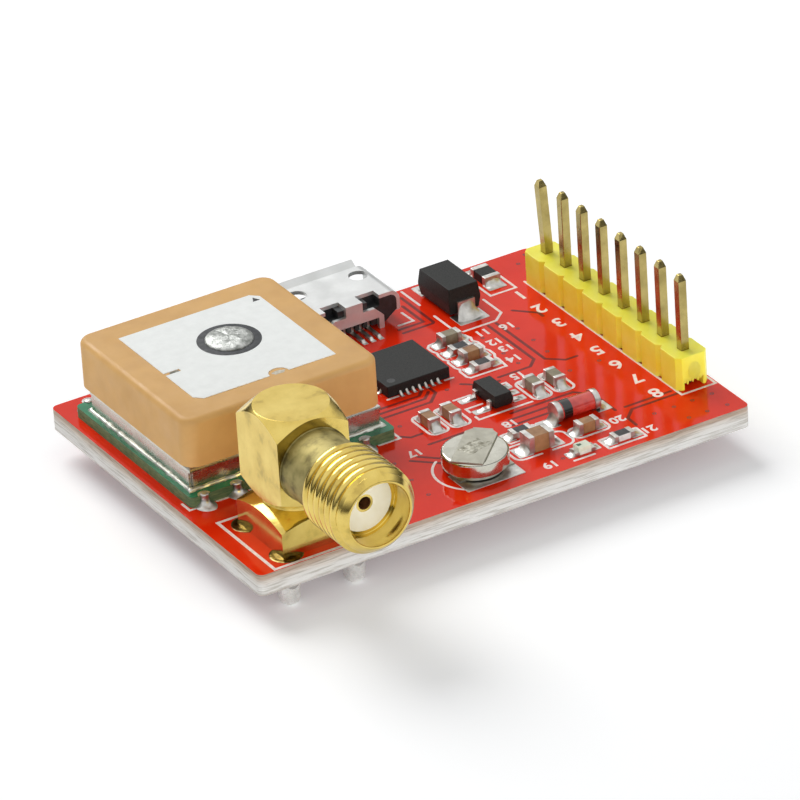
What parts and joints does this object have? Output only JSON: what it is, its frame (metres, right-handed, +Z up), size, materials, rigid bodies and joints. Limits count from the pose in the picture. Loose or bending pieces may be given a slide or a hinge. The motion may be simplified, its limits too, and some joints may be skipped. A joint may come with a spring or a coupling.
{
  "type": "gps module",
  "caption": "Red circuit board with a patch-antenna satellite receiver, a right-angle threaded antenna jack, a micro USB socket and a row of header pins.",
  "frame": {"origin": "under the middle of the object's box, level with the ends of the antenna jack's legs", "axes": "+X to the right along the board's long front edge, +Y to the back where the USB socket's mouth is, +Z up from the board"},
  "size_m": [0.039, 0.0376, 0.0133],
  "materials": {
    "board_red": "gloss",
    "carrier_green": "gloss",
    "sheet_steel": "satin",
    "antenna_ceramic": "matt",
    "antenna_silver": "matt",
    "adhesive_tape": "matt",
    "gold_plate": "polished",
    "white_insulator": "matt",
    "black_moulding": "matt",
    "tin": "satin",
    "header_yellow": "satin",
    "capacitor_tan": "satin",
    "resistor_white": "satin",
    "diode_glass": "polished",
    "lamp_white": "satin"
  },
  "bodies": {
    "root": {"main_board": "board_red", "receiver_carrier": "carrier_green", "receiver_chip": "black_moulding", "receiver_crystal": "sheet_steel", "shield_can": "sheet_steel", "antenna_tape": "adhesive_tape", "antenna_ceramic": "antenna_ceramic", "antenna_electrode": "antenna_silver", "antenna_feed_pin": "tin", "receiver_solder": "tin", "jack_body": "gold_plate", "jack_barrel": "gold_plate", "jack_front_insulator": "white_insulator", "jack_rear_insulator": "white_insulator", "jack_contact": "gold_plate", "jack_tail_pin": "gold_plate", "jack_solder": "tin", "usb_shell": "sheet_steel", "usb_insulator": "black_moulding", "usb_contacts": "gold_plate", "interface_chip": "black_moulding", "interface_chip_terminals": "tin", "header_housing": "header_yellow", "header_pin_1": "gold_plate", "header_pin_2": "gold_plate", "header_pin_3": "gold_plate", "header_pin_4": "gold_plate", "header_pin_5": "gold_plate", "header_pin_6": "gold_plate", "header_pin_7": "gold_plate", "header_pin_8": "gold_plate", "header_solder": "tin", "cell_can": "sheet_steel", "cell_cap": "sheet_steel", "cell_upper_tab": "sheet_steel", "cell_lower_tab": "sheet_steel", "power_diode": "black_moulding", "power_diode_leads": "tin", "regulator": "black_moulding", "regulator_leads": "tin", "signal_diode_glass": "diode_glass", "signal_diode_caps": "tin", "lamp_base": "lamp_white", "lamp_lens": "lamp_white", "lamp_terminals": "tin", "fuse": "black_moulding", "capacitor_1": "capacitor_tan", "capacitor_2": "capacitor_tan", "capacitor_3": "capacitor_tan", "capacitor_4": "capacitor_tan", "capacitor_5": "capacitor_tan", "capacitor_6": "capacitor_tan", "capacitor_7": "capacitor_tan", "capacitor_8": "capacitor_tan", "resistor_1": "resistor_white", "resistor_2": "resistor_white", "resistor_3": "resistor_white", "resistor_4": "resistor_white", "chip_terminals": "tin"}
  },
  "joints": []
}
